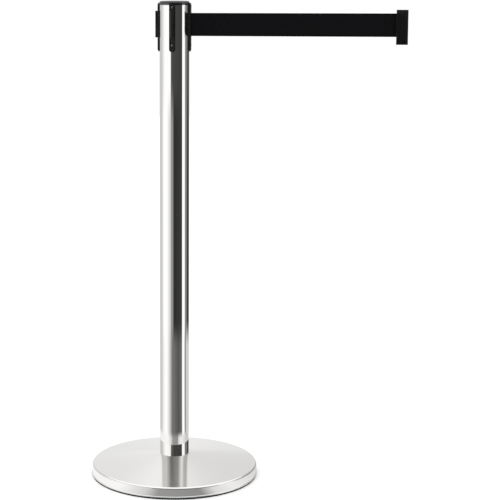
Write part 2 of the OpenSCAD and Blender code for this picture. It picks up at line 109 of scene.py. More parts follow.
def startTree(name, sizes):  # an empty geometry tree with named inputs
    tree = bpy.data.node_groups.new(name, "GeometryNodeTree")
    tree.interface.new_socket("Geometry", in_out="INPUT", socket_type="NodeSocketGeometry")
    for label, kind in sizes.items():
        tree.interface.new_socket(label, in_out="INPUT", socket_type="NodeSocket" + kind)
    tree.interface.new_socket("Geometry", in_out="OUTPUT", socket_type="NodeSocketGeometry")
    return tree, tree.nodes.new("NodeGroupInput").outputs


def endTree(tree, geometry, material):  # every tree ends in real geometry with its material
    real = addNode(tree, "GeometryNodeRealizeInstances", links={"Geometry": geometry})
    done = addNode(tree, "GeometryNodeSetMaterial",
                   links={"Geometry": real.outputs[0], "Material": material})
    addNode(tree, "NodeGroupOutput", links={0: done.outputs[0]})


def runTree(thing, tree, values):  # the tree's result as a plain mesh on the same object
    modifier = thing.modifiers.new(tree.name, "NODES")
    modifier.node_group = tree
    for socket in tree.interface.items_tree:
        if socket.in_out == "INPUT" and socket.name in values:
            modifier[socket.identifier] = values[socket.name]
    plain(thing)


def plain(thing):  # applies the modifiers
    graph = bpy.context.evaluated_depsgraph_get()
    mesh = bpy.data.meshes.new_from_object(thing.evaluated_get(graph))
    thing.modifiers.clear()
    thing.data = mesh
    mesh.name = thing.name


def finishPiece(thing, body, slot, *nodes):
    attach(thing, body)
    if nodes:
        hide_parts(*nodes)
    return thing


def arc(centreX, centreY, radius, start, end, steps):  # points on a circle, in degrees
    turns = [math.radians(start + (end - start) * i / steps) for i in range(steps + 1)]
    return [(centreX + radius * math.cos(t), centreY + radius * math.sin(t)) for t in turns]


def makePolishedCover():
    # spun stainless steel, buffed: faint rings from the lathe in a bright, slightly soft mirror
    look = dict(colour="#F2F1EF", roughness=0.085, ringsPerMetre=900, smudgesPerMetre=14, bump=0.02,
                depth=0.0002)
    material, tree, shader, place = startMaterial(
        "spunStainlessPolished", Base_Color=hexColour(look["colour"]), Metallic=1.0)
    flat = addNode(tree, "ShaderNodeVectorMath", {"operation": "MULTIPLY"}, {1: (1, 1, 0)}, {0: place})
    radius = addNode(tree, "ShaderNodeVectorMath", {"operation": "LENGTH"}, links={0: flat.outputs[0]})
    rings = addNode(tree, "ShaderNodeTexNoise", {"noise_dimensions": "1D"},
                    {"Scale": look["ringsPerMetre"], "Detail": 3.0}, {"W": radius.outputs["Value"]})
    smudges = addNode(tree, "ShaderNodeTexNoise", None, {"Scale": look["smudgesPerMetre"], "Detail": 4.0},
                      {"Vector": place})
    wear = addNode(tree, "ShaderNodeMath", {"operation": "MULTIPLY"}, None,
                   {0: rings.outputs["Fac"], 1: smudges.outputs["Fac"]})
    rough = addNode(tree, "ShaderNodeMapRange", None,
                    {"From Min": 0.1, "From Max": 0.45, "To Min": look["roughness"] * 0.75,
                     "To Max": look["roughness"] * 1.35}, {"Value": wear.outputs[0]})
    bump = addNode(tree, "ShaderNodeBump", None, {"Strength": look["bump"], "Distance": look["depth"]},
                   {"Height": rings.outputs["Fac"]})
    tree.links.new(rough.outputs[0], shader.inputs["Roughness"])
    tree.links.new(bump.outputs[0], shader.inputs["Normal"])
    return material


def makeMirrorTube():
    # drawn steel tube, ground and mirror polished: long vertical lines barely show in the reflections
    look = dict(colour="#F3F2F0", roughness=0.028, linesPerMetre=420, stretch=0.012, printsPerMetre=9,
                bump=0.015, depth=0.0002)
    material, tree, shader, place = startMaterial(
        "drawnTubeMirrorPolished", Base_Color=hexColour(look["colour"]), Metallic=1.0)
    tall = addNode(tree, "ShaderNodeMapping", None, {"Scale": (1, 1, look["stretch"])}, {"Vector": place})
    lines = addNode(tree, "ShaderNodeTexNoise", None, {"Scale": look["linesPerMetre"], "Detail": 3.0},
                    {"Vector": tall.outputs[0]})
    prints = addNode(tree, "ShaderNodeTexNoise", None,
                     {"Scale": look["printsPerMetre"], "Detail": 5.0, "Roughness": 0.6}, {"Vector": place})
    mixed = addNode(tree, "ShaderNodeMath", {"operation": "MULTIPLY"}, None,
                    {0: lines.outputs["Fac"], 1: prints.outputs["Fac"]})
    rough = addNode(tree, "ShaderNodeMapRange", None,
                    {"From Min": 0.1, "From Max": 0.45, "To Min": look["roughness"] * 0.6,
                     "To Max": look["roughness"] * 1.6}, {"Value": mixed.outputs[0]})
    bump = addNode(tree, "ShaderNodeBump", None, {"Strength": look["bump"], "Distance": look["depth"]},
                   {"Height": lines.outputs["Fac"]})
    tree.links.new(rough.outputs[0], shader.inputs["Roughness"])
    tree.links.new(bump.outputs[0], shader.inputs["Normal"])
    return material


def makePlastic(name, dark, light, roughness, grainMm, depth, shine=0.5):
    # injection-moulded plastic: mould grain in the surface, a little rubbed and paler on its edges
    material, tree, shader, place = startMaterial(name, IOR=1.5, Specular_IOR_Level=shine)
    grain = addNode(tree, "ShaderNodeTexNoise", None,
                    {"Scale": 1000 / grainMm, "Detail": 2.0, "Roughness": 0.45}, {"Vector": place})
    flow = addNode(tree, "ShaderNodeTexNoise", None, {"Scale": 30.0, "Detail": 3.0}, {"Vector": place})
    edges = addNode(tree, "ShaderNodeMapRange", None, {"From Min": 0.52, "From Max": 0.60},
                    {"Value": addNode(tree, "ShaderNodeNewGeometry").outputs["Pointiness"]})
    worn = addNode(tree, "ShaderNodeMath", {"operation": "MULTIPLY"}, None,
                   {0: edges.outputs[0], 1: flow.outputs["Fac"]})
    tone = addNode(tree, "ShaderNodeMix", {"data_type": "RGBA"}, {6: hexColour(dark), 7: hexColour(light)},
                   {0: worn.outputs[0]})
    rough = addNode(tree, "ShaderNodeMapRange", None,
                    {"From Min": 0.25, "From Max": 0.75, "To Min": roughness * 0.88,
                     "To Max": roughness * 1.12}, {"Value": flow.outputs["Fac"]})
    bump = addNode(tree, "ShaderNodeBump", None, {"Strength": depth, "Distance": 0.0001},
                   {"Height": grain.outputs["Fac"]})
    tree.links.new(tone.outputs[2], shader.inputs["Base Color"])
    tree.links.new(rough.outputs[0], shader.inputs["Roughness"])
    tree.links.new(bump.outputs[0], shader.inputs["Normal"])
    return material


def makeMetal(name, dark, light, roughness, patchMm, depth):
    # turned, plated or blackened steel: small patches of tone and fine tool marks
    material, tree, shader, place = startMaterial(name, Metallic=1.0)
    patches = addNode(tree, "ShaderNodeTexVoronoi", None, {"Scale": 1000 / patchMm}, {"Vector": place})
    marks = addNode(tree, "ShaderNodeTexNoise", None, {"Scale": 2500.0, "Detail": 2.0}, {"Vector": place})
    tone = addNode(tree, "ShaderNodeMix", {"data_type": "RGBA"}, {6: hexColour(dark), 7: hexColour(light)},
                   {0: patches.outputs["Distance"]})
    rough = addNode(tree, "ShaderNodeMapRange", None,
                    {"To Min": roughness * 0.8, "To Max": roughness * 1.2}, {"Value": marks.outputs["Fac"]})
    bump = addNode(tree, "ShaderNodeBump", None, {"Strength": depth, "Distance": 0.0001},
                   {"Height": marks.outputs["Fac"]})
    tree.links.new(tone.outputs[2], shader.inputs["Base Color"])
    tree.links.new(rough.outputs[0], shader.inputs["Roughness"])
    tree.links.new(bump.outputs[0], shader.inputs["Normal"])
    return material


def makeRough(name, dark, light, roughness, lumpMm, depth):
    # cast iron under paint, or moulded rubber: a lumpy, matt skin
    material, tree, shader, place = startMaterial(name, IOR=1.5)
    lumps = addNode(tree, "ShaderNodeTexNoise", None,
                    {"Scale": 1000 / lumpMm, "Detail": 6.0, "Roughness": 0.6}, {"Vector": place})
    tone = addNode(tree, "ShaderNodeMix", {"data_type": "RGBA"}, {6: hexColour(dark), 7: hexColour(light)},
                   {0: lumps.outputs["Fac"]})
    rough = addNode(tree, "ShaderNodeMapRange", None,
                    {"To Min": roughness * 0.85, "To Max": min(1.0, roughness * 1.15)},
                    {"Value": lumps.outputs["Fac"]})
    bump = addNode(tree, "ShaderNodeBump", None, {"Strength": depth, "Distance": 0.0005},
                   {"Height": lumps.outputs["Fac"]})
    tree.links.new(tone.outputs[2], shader.inputs["Base Color"])
    tree.links.new(rough.outputs[0], shader.inputs["Roughness"])
    tree.links.new(bump.outputs[0], shader.inputs["Normal"])
    return material


def makeWebbing():
    # woven polyester belt webbing: herringbone ribs along it with a painted highlight on the yarn crests,
    # and a tighter, darker selvedge at each edge
    # the real yarns are about 0.5 mm apart; they are drawn 1.2 mm apart so that they show
    look = dict(yarn="#030304", crestHighlight="#1A1A1D", selvedge="#020202", yarnPitch=0.0012, ribWidth=0.006,
                selvedgeWidth=0.002, roughness=0.92, shine=0.12, fuzzPerMetre=600, bump=0.6, depth=0.0002)
    low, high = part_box("belt")
    middle, halfWidth = (low.z + high.z) / 2, (high.z - low.z) / 2
    material, tree, shader, place = startMaterial(
        "wovenPolyesterWebbing", Roughness=look["roughness"], IOR=1.45, Specular_IOR_Level=look["shine"])
    axes = addNode(tree, "ShaderNodeSeparateXYZ", links={0: place})
    across = addNode(tree, "ShaderNodeMath", {"operation": "SUBTRACT"}, {1: middle}, {0: axes.outputs["Z"]})
    zigzag = addNode(tree, "ShaderNodeMath", {"operation": "PINGPONG"}, {1: look["ribWidth"]},
                     {0: across.outputs[0]})
    slant = addNode(tree, "ShaderNodeMath", {"operation": "ADD"}, None,
                    {0: axes.outputs["X"], 1: zigzag.outputs[0]})
    phase = addNode(tree, "ShaderNodeMath", {"operation": "MULTIPLY"}, {1: 2 * math.pi / look["yarnPitch"]},
                    {0: slant.outputs[0]})
    yarn = addNode(tree, "ShaderNodeMath", {"operation": "SINE"}, links={0: phase.outputs[0]})
    height = addNode(tree, "ShaderNodeMapRange", None, {"From Min": -1.0}, {"Value": yarn.outputs[0]})
    fuzz = addNode(tree, "ShaderNodeTexNoise", None, {"Scale": look["fuzzPerMetre"], "Detail": 3.0},
                   {"Vector": place})
    level = addNode(tree, "ShaderNodeMath", {"operation": "MULTIPLY"}, None,
                    {0: height.outputs[0], 1: fuzz.outputs["Fac"]})
    # painted highlight: the yarn crests are coloured lighter than the hollows between them, as light would
    # fall on the weave
    body = addNode(tree, "ShaderNodeMix", {"data_type": "RGBA"},
                   {6: hexColour(look["yarn"]), 7: hexColour(look["crestHighlight"])}, {0: level.outputs[0]})
    edge = addNode(tree, "ShaderNodeMath", {"operation": "ABSOLUTE"}, links={0: across.outputs[0]})
    border = addNode(tree, "ShaderNodeMapRange", None,
                     {"From Min": halfWidth - look["selvedgeWidth"],
                      "From Max": halfWidth - look["selvedgeWidth"] * 0.8}, {"Value": edge.outputs[0]})
    tone = addNode(tree, "ShaderNodeMix", {"data_type": "RGBA"}, {7: hexColour(look["selvedge"])},
                   {0: border.outputs[0], 6: body.outputs[2]})
    bump = addNode(tree, "ShaderNodeBump", None, {"Strength": look["bump"], "Distance": look["depth"]},
                   {"Height": level.outputs[0]})
    tree.links.new(tone.outputs[2], shader.inputs["Base Color"])
    tree.links.new(bump.outputs[0], shader.inputs["Normal"])
    return material


finishes = {
    "floor_rubber": makeRough("mouldedBlackRubber", "#121212", "#1E1E1E", 0.8, 1.5, 0.2),
    "polished_cover": makePolishedCover(),
    "cast_iron": makeRough("paintedCastIron", "#202123", "#34363A", 0.65, 3.0, 0.6),
    "zinc_steel": makeMetal("zincPlatedSteel", "#A9ADB3", "#C8CCD0", 0.32, 4.0, 0.08),
    "chromed_tube": makeMirrorTube(),
    "cap_plastic": makePlastic("glossAbsMouldedCap", "#0E0E10", "#232326", 0.12, 0.5, 0.03, 1.0),
    "head_plastic": makePlastic("satinAbsMoulded", "#0A0A0B", "#262629", 0.27, 0.5, 0.08),
    "bright_steel": makeMetal("turnedBrightSteel", "#8F9092", "#ABACAE", 0.3, 1.2, 0.05),
    "cassette_nylon": makePlastic("mouldedNylonDarkGrey", "#2B2B2E", "#3A3A3E", 0.5, 0.6, 0.15),
    "acetal": makePlastic("naturalAcetalTurned", "#D8D2C0", "#E6E1D3", 0.4, 0.8, 0.05),
    "spring_steel": makeMetal("bluedSpringSteel", "#39424F", "#566173", 0.3, 6.0, 0.05),
    "brake_rubber": makeRough("frictionRubberRed", "#43201C", "#5E2C27", 0.8, 1.0, 0.2),
    "webbing": makeWebbing(),
    "reel_plastic": makePlastic("mouldedNylonReel", "#333337", "#45454A", 0.45, 0.6, 0.12),
    "clip_plastic": makePlastic("fineGrainedAbs", "#060607", "#1E1E21", 0.36, 0.35, 0.15, 0.25),
    "blackened_steel": makeMetal("blackenedSteel", "#242426", "#3A3A3D", 0.38, 1.2, 0.05)}
for entry in frame["record"]["subparts"]:
    cadNodes[entry["node"]].material_slots[0].material = finishes[entry["material_slot"]]
print("made", len(finishes), "finishes")


def makeLatheTree():
    tree, given = startTree("latheProfile", {
        "Segments": "Int", "Path Radius": "Float", "Hard Angle": "Float", "Material": "Material"})
    profile = addNode(tree, "GeometryNodeMeshToCurve", links={"Mesh": given["Geometry"]})
    path = addNode(tree, "GeometryNodeCurvePrimitiveCircle",
                   links={"Resolution": given["Segments"], "Radius": given["Path Radius"]})
    turned = addNode(tree, "GeometryNodeCurveToMesh",
                     links={"Curve": path.outputs[0], "Profile Curve": profile.outputs[0]})
    closed = addNode(tree, "GeometryNodeMergeByDistance", None, {"Distance": 1e-6},
                     {"Geometry": turned.outputs[0]})
    bend = addNode(tree, "GeometryNodeInputMeshEdgeAngle")
    hard = addNode(tree, "FunctionNodeCompare", {"operation": "GREATER_THAN"}, None,
                   {0: bend.outputs["Unsigned Angle"], 1: given["Hard Angle"]})
    smooth = addNode(tree, "GeometryNodeSetShadeSmooth", None, None, {"Geometry": closed.outputs[0]})
    crisp = addNode(tree, "GeometryNodeSetShadeSmooth", {"domain": "EDGE"}, {"Shade Smooth": False},
                    {"Geometry": smooth.outputs[0], "Selection": hard.outputs[0]})
    endTree(tree, crisp.outputs[0], given["Material"])
    return tree


turning = dict(pathRadius=0.02, hardAngle=32)


def latheOf(name, outline, slot, segments, closedOutline):
    # the outline is (radius, height) points, clockwise, so that the faces point outwards
    points = [(r - turning["pathRadius"], -z, 0) for r, z in outline]
    edges = [(i, i + 1) for i in range(len(points) - 1)]
    if closedOutline:
        edges.append((len(points) - 1, 0))
    thing = addObject(name, points, [], edges)
    runTree(thing, latheTree, {
        "Segments": segments, "Path Radius": turning["pathRadius"],
        "Hard Angle": math.radians(turning["hardAngle"]), "Material": finishes[slot]})
    return thing


def makeBaseCover():
    size = dict(sheet=0.0012, wallInset=0.0012, shoulder=0.004, cornerHeight=0.025, footEdge=0.0008,
                boltHole=0.00675, bead=0.0016, bend=0.0004, beadGap=0.0003, segments=288)
    low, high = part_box("base_cover")
    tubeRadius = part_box("post_tube")[1].x
    wall = high.x - size["wallInset"]
    foot = tubeRadius + size["footEdge"]
    slope = (high.z - size["cornerHeight"]) / (wall - foot)
    tilt = math.degrees(math.atan(slope))
    beadX, beadZ = high.x - size["bead"], low.z + size["bead"]

    def skin(depth):  # foot, cone and shoulder at a depth under the outer surface, from the middle outwards
        radius = size["shoulder"] - depth
        middleX = wall - size["shoulder"]
        top = high.z - depth
        middleZ = top - slope * (middleX - foot) - radius * math.sqrt(1 + slope * slope)
        shoulder = arc(middleX, middleZ, radius, 90 - tilt, 0, 14)
        startX, startZ = shoulder[0]
        bend = size["bend"]  # short faces beside each bend keep the cone's shading flat
        nearEnd = (startX - bend, startZ + slope * bend)
        nearFoot = (foot + bend, top - slope * bend)
        return [(size["boltHole"], top), (foot - bend, top), (foot, top), nearFoot, nearEnd] + shoulder

    outer = skin(0)
    inner = skin(size["sheet"])
    reach = math.degrees(math.acos((wall - beadX) / size["bead"]))
    innerWall = wall - size["sheet"]
    back = math.degrees(math.acos((innerWall - beadX) / size["bead"]))
    bead = arc(beadX, beadZ, size["bead"], reach, back - 360, 22)
    outline = outer + [(wall, bead[0][1] + size["beadGap"])] + bead
    outline += [(innerWall, bead[-1][1] + size["beadGap"])] + inner[::-1]
    cover = latheOf("spunBaseCover", outline, "polished_cover", size["segments"], True)
    return finishPiece(cover, "stand", "polished_cover", "base_cover")


def makeCap():
    size = dict(dome=0.001, domeSteps=12, domeReach=0.93, rounding=0.0045, roundingFrom=84, rimDepth=0.0095,
                plugInset=0.0055, plugWall=0.002, topWall=0.0025, rimChamfer=0.0003, edge=0.0005,
                segments=192)
    low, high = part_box("head_cap")
    radius = high.x
    rim = high.z - size["rimDepth"]
    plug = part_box("cassette_top")[1].x - size["plugInset"]
    roof = high.z - size["topWall"] - size["dome"]
    domeRadius = (radius ** 2 + size["dome"] ** 2) / (2 * size["dome"])
    rounding, drop = size["rounding"], size["edge"]
    edge = arc(radius - rounding, high.z - size["dome"] - rounding, rounding, size["roundingFrom"], 0, 12)
    reach = edge[0][0] / size["domeSteps"] * size["domeReach"]
    dome = [(reach * i, high.z - domeRadius + math.sqrt(domeRadius ** 2 - (reach * i) ** 2))
            for i in range(size["domeSteps"] + 1)]
    outline = dome + edge + [(radius, rim + drop), (radius - size["rimChamfer"], rim), (plug, rim),
                             (plug, low.z + drop), (plug - drop, low.z), (plug - size["plugWall"], low.z),
                             (plug - size["plugWall"], roof), (0.0, roof)]
    cap = latheOf("domedHeadCap", outline, "cap_plastic", size["segments"], False)
    return finishPiece(cap, "stand", "cap_plastic", "head_cap")


latheTree = makeLatheTree()
makeBaseCover()
makeCap()
print("turned the base cover and the cap")


def makeTube():
    size = dict(wall=0.0015, windowWidth=0.009, windowMargin=0.002, chamfer=0.0003, endBand=0.001, steps=192,
                hardAngle=32)
    low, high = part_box("post_tube")
    beltLow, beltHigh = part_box("belt")
    radius = high.x
    half = math.asin(size["windowWidth"] / 2 / radius)
    turns = sorted({round(2 * math.pi * i / size["steps"], 6) for i in range(size["steps"])}
                   | {round(half, 6), round(2 * math.pi - half, 6)})
    levels = [low.z, low.z + size["chamfer"], low.z + size["endBand"], beltLow.z - size["windowMargin"],
              beltHigh.z + size["windowMargin"], high.z - size["endBand"] / 2, high.z]
    windowRow = 3
    count, rows = len(turns), len(levels)
    verts = []
    for inner in (False, True):
        for row, z in enumerate(levels):
            r = radius - size["wall"] if inner else radius - (size["chamfer"] if row == 0 else 0)
            verts += [(r * math.cos(t), r * math.sin(t), z) for t in turns]
    faces, used = [], []
    for row in range(rows - 1):
        for j in range(count):
            k = (j + 1) % count
            middle = (turns[j] + (turns[k] if k else 2 * math.pi)) / 2
            if row == windowRow and min(middle, 2 * math.pi - middle) < half:
                continue
            face = [row * count + j, row * count + k, (row + 1) * count + k, (row + 1) * count + j]
            faces.append(face)
            faces.append([v + rows * count for v in reversed(face)])
            used += zip(face, face[1:] + face[:1])
    known = set(used)
    for a, b in used:  # the rims and the window's sides join the two skins
        if (b, a) not in known:
            faces.append([b, a, a + rows * count, b + rows * count])
    tube = addObject("mirrorPostTube", verts, faces)
    smoothBut(tube.data, size["hardAngle"])
    tube.data.materials.append(finishes["chromed_tube"])
    return finishPiece(tube, "stand", "chromed_tube", "post_tube")


makeTube()
print("built the tube")


mouldings = dict(edge=0.00035, clipEdge=0.0004, segments=2, hardAngle=30, flatWithin=1)


def softEdges(name, node, body, slot, width):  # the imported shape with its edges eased
    shape = bmesh.new()
    shape.from_mesh(cadNodes[node].data)
    bmesh.ops.remove_doubles(shape, verts=shape.verts, dist=1e-6)
    flat = math.radians(mouldings["flatWithin"])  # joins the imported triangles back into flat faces
    bmesh.ops.dissolve_limit(shape, angle_limit=flat, verts=shape.verts, edges=shape.edges)
    mesh = bpy.data.meshes.new(name)
    shape.to_mesh(mesh)
    shape.free()
    smoothBut(mesh, mouldings["hardAngle"])
    thing = bpy.data.objects.new(name, mesh)
    scene.collection.objects.link(thing)
    bevel = thing.modifiers.new("easedEdges", "BEVEL")
    bevel.width = width
    bevel.segments = mouldings["segments"]
    bevel.limit_method = "ANGLE"
    bevel.angle_limit = math.radians(mouldings["hardAngle"])
    bevel.harden_normals = True
    bevel.use_clamp_overlap = True
    plain(thing)
    thing.data.materials.clear()
    thing.data.materials.append(finishes[slot])
    return finishPiece(thing, body, slot, node)


for name, node in (("frontReceiver", "receiver_front"), ("rearReceiver", "receiver_rear"),
                   ("leftReceiver", "receiver_left"), ("beltOutletStrip", "belt_outlet")):
    softEdges(name, node, "stand", "head_plastic", mouldings["edge"])
for name, node in (("clipBody", "clip_body"), ("clipCover", "clip_cover")):
    softEdges(name, node, "clip", "clip_plastic", mouldings["clipEdge"])
print("eased the mouldings' edges")


def makeScrewTree():
    tree, given = startTree("domedScrews", {
        "Head Radius": "Float", "Head Height": "Float", "Dome": "Float", "Key Radius": "Float",
        "Shank Radius": "Float", "Shank Length": "Float", "Material": "Material"})
    head = addNode(tree, "GeometryNodeMeshCylinder", {"fill_type": "NGON"},
                   {"Vertices": 32, "Fill Segments": 5},
                   {"Radius": given["Head Radius"], "Depth": given["Head Height"]})
    place = addNode(tree, "GeometryNodeInputPosition").outputs[0]
    flat = addNode(tree, "ShaderNodeVectorMath", {"operation": "MULTIPLY"}, {1: (1, 1, 0)}, {0: place})
    radius = addNode(tree, "ShaderNodeVectorMath", {"operation": "LENGTH"}, links={0: flat.outputs[0]})
    share = addNode(tree, "ShaderNodeMath", {"operation": "DIVIDE"}, None,
                    {0: radius.outputs["Value"], 1: given["Head Radius"]})
    square = addNode(tree, "ShaderNodeMath", {"operation": "POWER"}, {1: 2.2}, {0: share.outputs[0]})
    drop = addNode(tree, "ShaderNodeMath", {"operation": "MULTIPLY"}, None,
                   {0: square.outputs[0], 1: given["Dome"]})
    down = addNode(tree, "ShaderNodeMath", {"operation": "MULTIPLY"}, {1: -1.0}, {0: drop.outputs[0]})
    shift = addNode(tree, "ShaderNodeCombineXYZ", links={"Z": down.outputs[0]})
    domed = addNode(tree, "GeometryNodeSetPosition", None, None,
                    {"Geometry": head.outputs["Mesh"], "Offset": shift.outputs[0],
                     "Selection": head.outputs["Top"]})
    key = addNode(tree, "GeometryNodeMeshCylinder", {"fill_type": "NGON"}, {"Vertices": 6},
                  {"Radius": given["Key Radius"], "Depth": given["Head Height"]})
    half = addNode(tree, "ShaderNodeMath", {"operation": "MULTIPLY"}, {1: 0.5}, {0: given["Head Height"]})
    up = addNode(tree, "ShaderNodeCombineXYZ", links={"Z": half.outputs[0]})
    keyUp = addNode(tree, "GeometryNodeTransform",
                    links={"Geometry": key.outputs["Mesh"], "Translation": up.outputs[0]})
    cut = addNode(tree, "GeometryNodeMeshBoolean", {"operation": "DIFFERENCE"}, None,
                  {"Mesh 1": domed.outputs[0], "Mesh 2": keyUp.outputs[0]})
    shank = addNode(tree, "GeometryNodeMeshCylinder", {"fill_type": "NGON"}, {"Vertices": 20},
                    {"Radius": given["Shank Radius"], "Depth": given["Shank Length"]})
    reach = addNode(tree, "ShaderNodeMath", {"operation": "MULTIPLY"}, {1: -0.5},
                    {0: given["Shank Length"]})
    under = addNode(tree, "ShaderNodeCombineXYZ", links={"Z": reach.outputs[0]})
    shankDown = addNode(tree, "GeometryNodeTransform",
                        links={"Geometry": shank.outputs["Mesh"], "Translation": under.outputs[0]})
    screw = addNode(tree, "GeometryNodeJoinGeometry")
    tree.links.new(cut.outputs[0], screw.inputs[0])
    tree.links.new(shankDown.outputs[0], screw.inputs[0])
    facing = addNode(tree, "GeometryNodeInputNamedAttribute", {"data_type": "FLOAT_VECTOR"},
                     {"Name": "facing"})
    aim = addNode(tree, "FunctionNodeAlignRotationToVector", {"axis": "Z"}, None,
                  {"Vector": facing.outputs["Attribute"]})
    placed = addNode(tree, "GeometryNodeInstanceOnPoints", None, None,
                     {"Points": given["Geometry"], "Instance": screw.outputs[0],
                      "Rotation": aim.outputs[0]})
    endTree(tree, placed.outputs[0], given["Material"])
    return tree


def makeReceiverScrews():
    size = dict(headRadius=0.0026, headHeight=0.0016, dome=0.0006, keyRadius=0.0010, shankRadius=0.0015,
                shankLength=0.0096, hardAngle=32)
    low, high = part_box("receiver_screws")
    heights = [low.z + size["headRadius"], high.z - size["headRadius"]]
    facings = [Vector((1, 0, 0)), Vector((0, 1, 0)), Vector((-1, 0, 0)), Vector((0, -1, 0))]
    spots = [f * (high.x - size["headHeight"] / 2) + Vector((0, 0, z)) for f in facings for z in heights]
    screws = addObject("receiverScrews", spots, [])
    facing = screws.data.attributes.new("facing", "FLOAT_VECTOR", "POINT")
    facing.data.foreach_set("vector", [c for f in facings for _ in heights for c in f])
    runTree(screws, makeScrewTree(), {
        "Head Radius": size["headRadius"], "Head Height": size["headHeight"], "Dome": size["dome"],
        "Key Radius": size["keyRadius"], "Shank Radius": size["shankRadius"],
        "Shank Length": size["shankLength"], "Material": finishes["bright_steel"]})
    smoothBut(screws.data, size["hardAngle"])
    return finishPiece(screws, "stand", "bright_steel", "receiver_screws")


makeReceiverScrews()
print("set the receiver screws")


webbing = dict(length=2.1, width=0.048, thickness=0.0005, selvedge=0.0006, selvedgeWidth=0.0018,
               lip=0.00015, roundOver=0.0005, lipShares=(0.2, 0.42), ribs=8, ribDepth=0.00004,
               ribGroove=0.04, ribCrown=0.3, gap=0.00002, hardAngle=40, ribAngle=50)
hemming = dict(overlap=0.003, shortBy=0.0004, rounding=0.0006, stitchRows=(0.0016, 0.0040),
               stitchLength=0.0022, stitchGap=0.0032, threadRadius=0.00016, threadSunk=0.6, margin=0.002,
               hardAngle=60)
# roundRoller is what the declared length allows for the turn; the arc in the mesh is a little shorter
winding = dict(coreRadius=0.009, resolution=36, squash=0.92, rollClearance=0.0003, roundRoller=0.0064)


def facesOutward(thing):  # faces of a closed mesh point outwards
    shape = bmesh.new()
    shape.from_mesh(thing.data)
    bmesh.ops.recalc_face_normals(shape, faces=shape.faces)
    shape.to_mesh(thing.data)
    shape.free()


def beltEdge():  # half thickness across the belt, from its lower edge to its upper one
    width, band, tip = webbing["width"], webbing["selvedgeWidth"], webbing["lipShares"]
    groove, crown = webbing["ribGroove"], webbing["ribCrown"]
    points = [(0.0, webbing["selvedge"] * tip[0]), (webbing["lip"], webbing["selvedge"] * tip[1]),
              (webbing["roundOver"], webbing["selvedge"] / 2), (band, webbing["selvedge"] / 2)]
    ribWidth = (width - 2 * band) / webbing["ribs"]
    for rib in range(webbing["ribs"]):
        for share, sunk in ((groove, webbing["ribDepth"]), (crown, 0.0), (1 - crown, 0.0),
                            (1 - groove, webbing["ribDepth"])):
            points.append((band + (rib + share) * ribWidth, webbing["thickness"] / 2 - sunk))
    return points + [(width - z, y) for z, y in points[3::-1]]


def makeDrawnBelt():
    low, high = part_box("belt")
    side = beltEdge()
    ring = [(-y, low.z + z) for z, y in side] + [(y, low.z + z) for z, y in reversed(side)]
    count = len(ring)
    verts = [(x, y, z) for x in (low.x, high.x) for y, z in ring]
    faces = [[i, count + i, count + (i + 1) % count, (i + 1) % count] for i in range(count)]
    faces += [list(range(count)), list(range(2 * count - 1, count - 1, -1))]
    belt = addObject("drawnBelt", verts, faces)
    facesOutward(belt)
    smoothBut(belt.data, webbing["ribAngle"])
    belt.data.materials.append(finishes["webbing"])
    return belt, low, high


def upright(name, outline, levels):  # a closed plan outline carried up through the levels
    count = len(outline)
    verts = [(x, y, z) for z in levels for x, y in outline]
    faces = []
    for start in range(0, (len(levels) - 1) * count, count):
        for i in range(count):
            j = (i + 1) % count
            faces.append([start + i, start + j, start + count + j, start + count + i])
    faces += [list(range(count - 1, -1, -1)), [(len(levels) - 1) * count + i for i in range(count)]]
    thing = addObject(name, verts, faces)
    facesOutward(thing)
    smoothBut(thing.data, webbing["hardAngle"])
    thing.data.materials.append(finishes["webbing"])
    return thing


def bandAlong(path, thickness):  # plan outline of a strip that follows the path
    left, right = [], []
    for i, p in enumerate(path):
        before, after = path[max(i - 1, 0)], path[min(i + 1, len(path) - 1)]
        way = Vector((after[0] - before[0], after[1] - before[1])).normalized()
        left.append((p[0] - way.y * thickness / 2, p[1] + way.x * thickness / 2))
        right.append((p[0] + way.y * thickness / 2, p[1] - way.x * thickness / 2))
    return left + right[::-1]


def makeHem():  # the belt's end, folded round the pin and sewn back on itself
    low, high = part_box("belt_hem")
    pinLow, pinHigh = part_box("belt_pin")
    pinX = (pinLow.x + pinHigh.x) / 2
    loop = (pinHigh.x - pinLow.x) / 2 + webbing["thickness"] / 2 + webbing["gap"]
    layer = webbing["thickness"] / 2 + webbing["gap"] / 2
    near, rounding = low.x + hemming["overlap"], hemming["rounding"]
    sweep = math.degrees(math.asin(layer / loop))
    around = arc(pinX, 0, loop, 180 + sweep, 540 - sweep, 24)
    path = [(low.x, -layer), (near, -layer)] + around + [(near, layer), (low.x + hemming["shortBy"], layer)]
    levels = [low.z, low.z + rounding, high.z - rounding, high.z]
    hem = upright("beltHem", bandAlong(path, webbing["thickness"] - webbing["gap"]), levels)
    finishPiece(hem, "clip", "webbing", "belt_hem")
    return hem, low, high, sum(math.dist(a, b) for a, b in zip(path, path[1:]))


def makeStitchTree():
    tree, given = startTree("stitchedRows", {
        "Thread Radius": "Float", "Stitch Length": "Float", "Spacing": "Float", "Material": "Material"})
    rows = addNode(tree, "GeometryNodeMeshToCurve", links={"Mesh": given["Geometry"]})
    spots = addNode(tree, "GeometryNodeResampleCurve", {"mode": "LENGTH"}, None,
                    {"Curve": rows.outputs[0], "Length": given["Spacing"]})
    thread = addNode(tree, "GeometryNodeMeshUVSphere", None, {"Segments": 6, "Rings": 4, "Radius": 1.0})
    long = addNode(tree, "ShaderNodeMath", {"operation": "MULTIPLY"}, {1: 0.5},
                   {0: given["Stitch Length"]})
    size = addNode(tree, "ShaderNodeCombineXYZ", None, None,
                   {"X": given["Thread Radius"], "Y": given["Thread Radius"], "Z": long.outputs[0]})
    placed = addNode(tree, "GeometryNodeInstanceOnPoints", None, None,
                     {"Points": spots.outputs[0], "Instance": thread.outputs["Mesh"],
                      "Scale": size.outputs[0]})
    endTree(tree, placed.outputs[0], given["Material"])
    return tree


